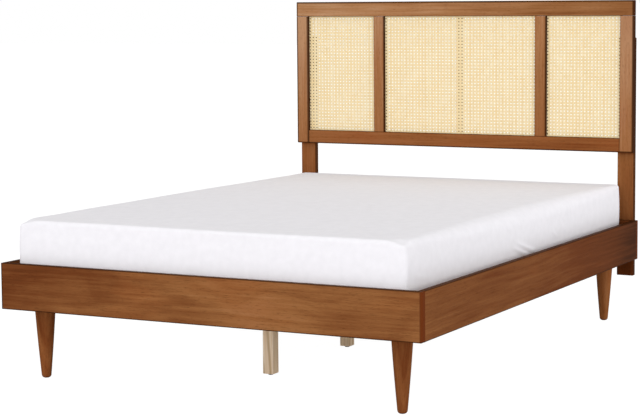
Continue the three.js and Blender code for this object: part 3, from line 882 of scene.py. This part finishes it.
def strand_body(vertices, faces, points, width):
    """Adds one strand through points in (across, up, forward), flat behind, crowned in front"""
    start = len(vertices)
    run = Vector((points[-1][0] - points[0][0], points[-1][1] - points[0][1])).normalized()
    side = Vector((-run.y, run.x))
    half = strand_thickness / 2
    for across, up, forward in points:
        for share, level in ((0.5, -half), (-0.5, -half), (-strand_crown, half), (strand_crown, half)):
            offset = side * share * width
            vertices.append((across + offset.x, -(forward + level), up + offset.y))
    for ring in range(len(points) - 1):
        near = start + 4 * ring
        for corner in range(4):
            after = (corner + 1) % 4
            faces.append((near + corner, near + after, near + 4 + after, near + 4 + corner))
    last = start + 4 * (len(points) - 1)
    faces.append((start + 3, start + 2, start + 1, start))
    faces.append((last, last + 1, last + 2, last + 3))


def stations(start, end):
    """The ends of a run counted in holes, and every half hole between, with whether a pair
    crosses there"""
    halves = range(math.ceil(start * 2 + 0.1), math.ceil(end * 2 - 0.1))
    return [(start, False)] + [(half / 2, half % 2 == 0) for half in halves] + [(end, False)]


def woven_panel(name, low, high, hole_at):
    """Weaves one panel to fill the box from low to high, with a hole centred at hole_at. Pairs
    of strands lie at whole numbers of holes, so holes lie halfway between them."""
    origin_x = hole_at - 0.5 * weave_pitch_across
    origin_z = (low.z + high.z) / 2
    left, right = (low.x - origin_x) / weave_pitch_across, (high.x - origin_x) / weave_pitch_across
    bottom, top = (low.z - origin_z) / weave_pitch_up, (high.z - origin_z) / weave_pitch_up
    vertices, faces, tones = [], [], []

    def lay(points, width):
        """Adds a strand through points counted in holes across and up"""
        before = len(vertices)
        path = [(x * weave_pitch_across, z * weave_pitch_up, forward) for x, z, forward in points]
        strand_body(vertices, faces, path, width * random.uniform(0.94, 1.06))
        tones.extend([random.random()] * (len(vertices) - before))

    spare = 0.6 * pair_width / weave_pitch_up
    for column in range(math.floor(left), math.ceil(right) + 1):
        for half in (-pair_half_gap, pair_half_gap):
            x = column + half + random.uniform(-strand_stray, strand_stray)
            if left + spare < x < right - spare:
                way = [(x, z, pair_relief if crossed else 0) for z, crossed in stations(bottom, top)]
                lay(way, pair_width)
    for row in range(math.floor(bottom), math.ceil(top) + 1):
        for half in (-pair_half_gap, pair_half_gap):
            z = row + half + random.uniform(-strand_stray, strand_stray)
            if bottom + spare < z < top - spare:
                way = [(x, z, -pair_relief if crossed else 0) for x, crossed in stations(left, right)]
                lay(way, pair_width)
    for slope in (1, -1):
        reach = [slope * z for z in (bottom + spare, top - spare)]
        first = math.floor(left - max(reach))
        for offset in range(first, math.ceil(right - min(reach)) + 1):
            base = offset + 0.5
            start = max(left + spare, base + min(reach))
            end = min(right - spare, base + max(reach))
            if end - start > shortest_slant:
                points = []
                for x, crossed in stations(start, end):
                    forward = slope * (slant_relief if crossed else -slant_relief)
                    points.append((x, slope * (x - base), forward))
                lay(points, slant_width)
    origin = Vector((origin_x, (low.y + high.y) / 2, origin_z))
    piece = mesh_object(name, [Vector(v) + origin for v in vertices], faces)
    tone = piece.data.attributes.new("strand_tone", "FLOAT", "POINT")
    tone.data.foreach_set("value", tones)
    piece.data.shade_smooth()
    return piece


# The webbing is cut from a roll, so each panel starts at another place in the pattern
for opening, hole_at in (("left", -0.7003), ("centre", -0.0006), ("right", 0.5504)):
    node = "cane_panel_" + opening
    piece = woven_panel(node + "_woven", *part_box(node), hole_at)
    rides(piece, node, cane)


# An upright batten behind the wide panel keeps the cane from bellying. It is stained to match
# and let in between the top and bottom rails.
batten_ease = 0.001
node = "cane_batten"
piece = smoothed(board(node + "_strip", *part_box(node), batten_ease))
tones = along_board(node, "z", 0.45, 0.45)
rides(piece, node, stained_rubberwood("stained_" + node, "z", (1.02, 0.04), tones))


# Two posts of stained rubberwood behind the headboard and the head rail hold them together.
# Flat-headed furniture bolts, zinc plated, go through them from behind.
post_ease = 0.003
bolt_head = 0.0025
bolt_radius = 0.004
bolt_socket = 0.0027
bolt_socket_depth = 0.0018
for side in sides:
    node = "post_" + side
    bolts = [f"{kind}_bolt_{side}_{height}" for kind in ("rail", "stile") for height in heights]
    low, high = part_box(node)
    piece = cut(board(node + "_board", low, high, post_ease), bolt_cutters(node, bolts))
    smoothed(piece)
    pith = (1.13, 0.70 if side == "left" else -0.81)
    # Painted shade: dark below the rail and behind the headboard, where the post lies in shadow
    tones = [(0.246, 0.20), (0.27, 0.49), (0.67, 0.60), (0.70, 0.10)]
    wood = stained_rubberwood("stained_" + node, "z", pith, tones, wide="y", warmth=0.22)
    rides(piece, node, wood)
    for bolt in bolts:
        low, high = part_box(bolt)
        radius = (high.x - low.x) / 2
        length = high.y - low.y
        profile = [(0, -length), (0.0036, -length), (bolt_radius, -length + 0.001)]
        profile += [(bolt_radius, -bolt_head), (radius - 0.0003, -bolt_head)]
        profile += [(radius, -bolt_head + 0.0003), (radius, -0.0009)]
        profile += [(radius - 0.0003, -0.0004), (radius - 0.001, 0), (0, 0)]
        centre = ((low.x + high.x) / 2, high.y, (low.z + high.z) / 2)
        hexagon = [(0, -bolt_socket_depth), (bolt_socket, -bolt_socket_depth)]
        hexagon += [(bolt_socket, 0.002), (0, 0.002)]
        socket = turned("cutter", hexagon, centre, (0, 1, 0), steps=6)
        piece = smoothed(cut(turned(bolt + "_plated", profile, centre, (0, 1, 0)), [socket]))
        rides(piece, bolt, zinc)


# The mattress is a foam slab in a knitted cover, crowned on top, with its long sides bowed out
# and a piped seam round the bottom. It only lies on the slats.
mattress_corner = 0.0135
mattress_edge = 0.012
mattress_crown = 0.011
mattress_swell = 0.003
mattress_bow = 0.011
mattress_side_rise = 0.005
mattress_soft_edge = 0.040
mattress_straight = 0.985
corner_dip = 0.012
corner_reach = 0.030
mattress_low, mattress_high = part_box("mattress")
half_x = (mattress_high.x - mattress_low.x) / 2
half_y = (mattress_high.y - mattress_low.y) / 2
mattress_middle = (mattress_low + mattress_high) / 2
shoulder = mattress_high.z - mattress_crown


def padded_shell(spacings, rows, grow=0.0):
    """A slab's top face, rounded top edge and wall, as a grid that stands out by grow from the
    mattress. Returns the vertices and faces, the last row of the wall, and for each vertex
    how far out it lies along x and y, from -1 to 1, and its outward direction."""
    inner_x = half_x - mattress_bow - mattress_swell - mattress_edge
    inner_y = half_y - mattress_swell - mattress_edge
    small = mattress_corner - mattress_edge
    corner_cells = 3

    def lines(limit, spacing):
        straight = limit - small
        count = round(2 * straight / spacing)
        near = [-limit + small * i / corner_cells for i in range(corner_cells)]
        middle = [-straight + 2 * straight * i / count for i in range(count + 1)]
        return near + middle + [-value for value in reversed(near)]

    def softened(point, depth, share_y):
        """Moves a point by a long side onto a rounder top edge, roundest halfway along"""
        arch = max(0.0, math.cos(share_y * math.pi / 2))
        rounding = mattress_edge + mattress_soft_edge * arch**0.8 + grow
        wall = inner_x + mattress_edge + mattress_bow * arch + grow
        across, up = rounding - wall + abs(point.x), rounding - depth
        limit = max(rounding, across)
        if across > 0 and up > 0 and math.hypot(across, up) > limit:
            share = limit / math.hypot(across, up)
            point.x = math.copysign(wall - rounding + across * share, point.x)
            point.z -= up * (1 - share)
        return point

    # The top face is a grid whose corners are drawn in to quarter circles
    xs, ys = lines(inner_x, spacings[0]), lines(inner_y, spacings[1])
    vertices, places = [], []
    index = {}
    for j, y in enumerate(ys):
        for i, x in enumerate(xs):
            over_x = abs(x) - (inner_x - small)
            over_y = abs(y) - (inner_y - small)
            out = Vector((0, 0))
            if over_x > 0 and over_y > 0:
                squash = max(over_x, over_y) / math.hypot(over_x, over_y)
                out = Vector((math.copysign(over_x, x), math.copysign(over_y, y))).normalized()
                point_x = math.copysign(inner_x - small + over_x * squash, x)
                point_y = math.copysign(inner_y - small + over_y * squash, y)
            else:
                point_x, point_y = x, y
                if i in (0, len(xs) - 1):
                    out = Vector((math.copysign(1, x), 0))
                elif j in (0, len(ys) - 1):
                    out = Vector((0, math.copysign(1, y)))
            share_x, share_y = point_x / inner_x, point_y / inner_y
            arch = math.cos(share_y * math.pi / 2)
            crown = mattress_crown * (1 - share_x**2) * (1 - share_y**2)
            crown += mattress_side_rise * share_x**2 * arch
            if share_y < 0:
                # Both corners at the foot are drawn down
                to_corner = math.hypot(inner_x - abs(point_x), inner_y - abs(point_y))
                crown -= corner_dip * math.exp(-((to_corner / corner_reach) ** 2))
            point_x += mattress_bow * share_x * arch
            index[i, j] = len(vertices)
            vertices.append(Vector((point_x, point_y, shoulder + grow + crown)))
            places.append((share_x, share_y, out))
    faces = [
        (index[i, j], index[i + 1, j], index[i + 1, j + 1], index[i, j + 1])
        for j in range(len(ys) - 1)
        for i in range(len(xs) - 1)
    ]
    # The grid's border, once round, is where the rows of the edge and the wall hang from
    last_i, last_j = len(xs) - 1, len(ys) - 1
    ring = [index[i, 0] for i in range(last_i)] + [index[last_i, j] for j in range(last_j)]
    ring += [index[i, last_j] for i in range(last_i, 0, -1)] + [index[0, j] for j in range(last_j, 0, -1)]
    base = [(vertices[i].copy(), places[i]) for i in ring]
    for point, (share_x, share_y, out) in zip(vertices, places):
        if abs(share_y) < mattress_straight:
            softened(point, 0.0, share_y)
    wall_middle = (shoulder - mattress_low.z) / 2
    previous = ring
    for offset, drop in rows:
        current = []
        for point, (share_x, share_y, out) in base:
            reach = offset + grow
            fading = max(0.0, min(1.0, (wall_middle - drop) / (wall_middle - mattress_edge)))
            z = point.z - drop - (1 - fading) * (point.z - shoulder - grow)
            moved = Vector((point.x + out.x * reach, point.y + out.y * reach, z))
            if abs(out.x) > 0.99 and abs(share_y) < mattress_straight:
                softened(moved, point.z - z, share_y)
            current.append(len(vertices))
            vertices.append(moved)
            places.append((share_x, share_y, out))
        for i in range(len(ring)):
            after = (i + 1) % len(ring)
            faces.append((previous[i], current[i], current[after], previous[after]))
        previous = current
    return vertices, faces, previous, places


def edge_rows(grow, wall_bottom, wall_steps, edge_steps=6):
    """The rows over the rounded top edge and down the swelling wall, as (offset, drop)"""
    edge = mattress_edge + grow
    rows = []
    for step in range(1, edge_steps + 1):
        turn = step / edge_steps * math.pi / 2
        rows.append((mattress_edge * math.sin(turn), edge * (1 - math.cos(turn))))
    wall_top = shoulder + grow - edge
    full_bottom = mattress_low.z + mattress_edge
    for step in range(1, wall_steps + 1):
        z = wall_top + (wall_bottom - wall_top) * step / wall_steps
        share = (z - full_bottom) / (wall_top - full_bottom)
        swell = mattress_swell * math.sin(max(0.0, min(1.0, share)) * math.pi)
        rows.append((mattress_edge + swell, shoulder + grow - z))
    return rows


def knitted_cover(name):
    """Polyester knit, quilted on a thin wadding: off-white, matt, with a fine cross rib"""
    material, tree = blank(name)
    place = add(tree, "ShaderNodeTexCoord")
    # Ribs of the knit, really 1 mm, here 8 mm, and stitches, here 4 mm. At scale 1 a wave's
    # bands are pi / 10 apart
    rib_pitch = 0.00789568
    ribs = add(
        tree,
        "ShaderNodeTexWave",
        {"Vector": place.outputs["Object"], "Scale": math.pi / 10 / rib_pitch, "Distortion": 0.4},
        bands_direction="Z",
    )
    stitches = add(tree, "ShaderNodeTexVoronoi", {"Vector": place.outputs["Object"], "Scale": 260.0})
    colour = add(tree, "ShaderNodeValToRGB", {"Fac": stitches}, stops={0.0: "#EDEBE7", 0.8: "#D9D6D1"})
    height = add(tree, "ShaderNodeMath", {0: ribs.outputs["Fac"], 1: stitches}, operation="SUBTRACT")
    relief = add(tree, "ShaderNodeBump", {"Height": height, "Strength": 0.4, "Distance": 0.0006})
    surface = add(
        tree,
        "ShaderNodeBsdfPrincipled",
        {
            "Base Color": colour,
            "Roughness": 0.92,
            "Sheen Weight": 0.2,
            "Sheen Roughness": 0.5,
            "Normal": relief,
        },
    )
    add(tree, "ShaderNodeOutputMaterial", {"Surface": surface})
    return material


ticking = knitted_cover("knitted_cover")
bottom_rows = edge_rows(0.0, mattress_low.z + mattress_edge, wall_steps=8)
bottom_steps = 5
for step in range(1, bottom_steps + 1):
    turn = step / bottom_steps * math.pi / 2
    drop = shoulder - (mattress_low.z + mattress_edge * (1 - math.sin(turn)))
    bottom_rows.append((mattress_edge - mattress_edge * (1 - math.cos(turn)), drop))
cover_cell = (0.016, 0.016)
vertices, faces, last_ring, _ = padded_shell(cover_cell, bottom_rows)
faces.append(tuple(reversed(last_ring)))
offset = Vector((mattress_middle.x, mattress_middle.y, 0))
mattress = mesh_object("mattress_cover", [v + offset for v in vertices], faces)
mattress.data.shade_smooth()
rides(mattress, "mattress", ticking, "mattress")


def round_cord(name, path, radius, sides=8):
    """A closed loop of cord along path"""
    vertices, faces = [], []
    count = len(path)
    for i, point in enumerate(path):
        run = (path[(i + 1) % count] - path[i - 1]).normalized()
        out = run.cross(Vector((0, 0, 1))).normalized()
        up = out.cross(run)
        for step in range(sides):
            turn = step * 2 * math.pi / sides
            vertices.append(point + out * radius * math.cos(turn) + up * radius * math.sin(turn))
    for i in range(count):
        near, far = i * sides, (i + 1) % count * sides
        for step in range(sides):
            after = (step + 1) % sides
            faces.append((near + step, far + step, far + after, near + after))
    return mesh_object(name, vertices, faces)


piping_radius = 0.0022
piping_inset = mattress_edge * (1 - math.sqrt(0.5)) + 0.001
piping_cell = (0.03, 0.03)
seam_row = (mattress_edge - piping_inset, shoulder - (mattress_low.z + piping_inset))
vertices, faces, last_ring, _ = padded_shell(piping_cell, [seam_row])
piping = round_cord("mattress_piping", [vertices[i] + offset for i in last_ring], piping_radius)
piping.data.shade_smooth()
dressed(piping, ticking, "mattress")


# The fitted sheet is white cotton percale, stretched over the mattress and drawn in by an
# elastic hem that ends just under the rails' top edge, with a sewn dart down each corner.
def cotton_percale(name):
    """Cotton percale, plain woven and washed: white, matt, with a soft haze at the edges"""
    material, tree = blank(name)
    place = add(tree, "ShaderNodeTexCoord")
    # Threads are really 0.3 mm apart, here 4 mm. At scale 1 a wave's bands are pi / 10 apart
    thread_pitch = 0.00394784
    thread_scale = math.pi / 10 / thread_pitch
    woven = {"Vector": place.outputs["Object"], "Scale": thread_scale, "Distortion": 0.6}
    warp, weft = [add(tree, "ShaderNodeTexWave", woven, bands_direction=axis) for axis in "XY"]
    # Slubs, where the yarn is thicker, about 30 mm long
    slubs = add(
        tree, "ShaderNodeTexNoise", {"Vector": place.outputs["Object"], "Scale": 35.0, "Detail": 4.0}
    )
    colour = add(tree, "ShaderNodeValToRGB", {"Fac": slubs}, stops={0.3: "#EFEDF1", 0.7: "#F4F2F6"})
    threads = add(
        tree, "ShaderNodeMath", {0: warp.outputs["Fac"], 1: weft.outputs["Fac"]}, operation="MULTIPLY"
    )
    relief = add(tree, "ShaderNodeBump", {"Height": threads, "Strength": 0.04, "Distance": 0.0003})
    surface = add(
        tree,
        "ShaderNodeBsdfPrincipled",
        {
            "Base Color": colour,
            "Roughness": 0.9,
            "Specular IOR Level": 0.2,
            "Sheen Weight": 0.15,
            "Sheen Roughness": 0.6,
            "Normal": relief,
        },
    )
    add(tree, "ShaderNodeOutputMaterial", {"Surface": surface})
    return material


percale = cotton_percale("cotton_percale")
sheet_thickness = 0.0007
sheet_clear = 0.0012
hem_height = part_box("fitted_sheet")[0].z + 0.001
seam_ridge = 0.0009
deepest_dip = 0.0008
# Creases where the elastic pulls, low on the walls: on x = +1 or -1, or y = -1, where each
# starts and ends along the wall and in height, and how high it stands, in metres
creases = [
    (1, -0.134, 0.444, 0.035, 0.396, 0.0060),
    (1, -0.169, 0.431, -0.010, 0.386, 0.0050),
    (1, 0.205, 0.452, 0.262, 0.420, 0.0028),
    (1, 0.300, 0.470, 0.345, 0.440, 0.0010),
    (1, -0.960, 0.440, -0.860, 0.418, 0.0012),
    (-1, 0.110, 0.455, 0.190, 0.414, 0.0022),
    (-1, -0.520, 0.448, -0.455, 0.410, 0.0016),
]
crease_width = 0.0075
swell_height = 0.0012
gather_reach = 0.05


def creased(place, out):
    """How far the creases on one wall lift the cloth at a place"""
    lift = 0.0
    for wall, y0, z0, y1, z1, height in creases:
        if out.x * wall > 0.9:
            run = Vector((y1 - y0, z1 - z0))
            to = Vector((place.y - y0, place.z - z0))
            share = max(0.0, min(1.0, to.dot(run) / run.length_squared))
            away = (to - run * share).length / crease_width
            lift += height * math.sin(math.pi * (0.12 + 0.76 * share)) * math.exp(-(away**2))
    return lift


def wrinkle(place, out):
    """How far the stretched cloth stands off, in metres: broad faint swells, and creases and
    shallow gathers low on the walls"""
    swell = noise.noise(Vector((place.x * 2.1, place.y * 1.7, 0.4))) * swell_height
    if out.length < 0.5:
        return swell
    above = place.z - hem_height
    run = place.y if abs(out.x) > abs(out.y) else place.x
    gather = noise.noise(Vector((run * 15.0, above * 4.0, out.x * 3 + out.y * 7)))
    gather *= swell_height * math.exp(-((above / gather_reach) ** 2))
    seam = seam_ridge if abs(abs(out.x) - abs(out.y)) < 0.05 else 0.0
    return swell + gather + seam + creased(place, out)


sheet_rows = edge_rows(sheet_clear, hem_height, wall_steps=26)
sheet_cell = (0.016, 0.008)
vertices, faces, _, places = padded_shell(sheet_cell, sheet_rows, sheet_clear)
for point, (share_x, share_y, out) in zip(vertices, places):
    on_wall = point.z < shoulder - mattress_edge
    direction = Vector((out.x, out.y, 0)) if on_wall else Vector((0, 0, 1))
    stand = wrinkle(point, out if on_wall else Vector((0, 0)))
    point += direction * max(stand, -deepest_dip)
sheet = mesh_object("fitted_sheet_cotton", [v + offset for v in vertices], faces)
sheet.data.shade_smooth()
skin = sheet.modifiers.new("cloth_thickness", "SOLIDIFY")
skin.thickness = sheet_thickness
skin.offset = 1.0
settled(sheet)
rides(sheet, "fitted_sheet", percale, "mattress")
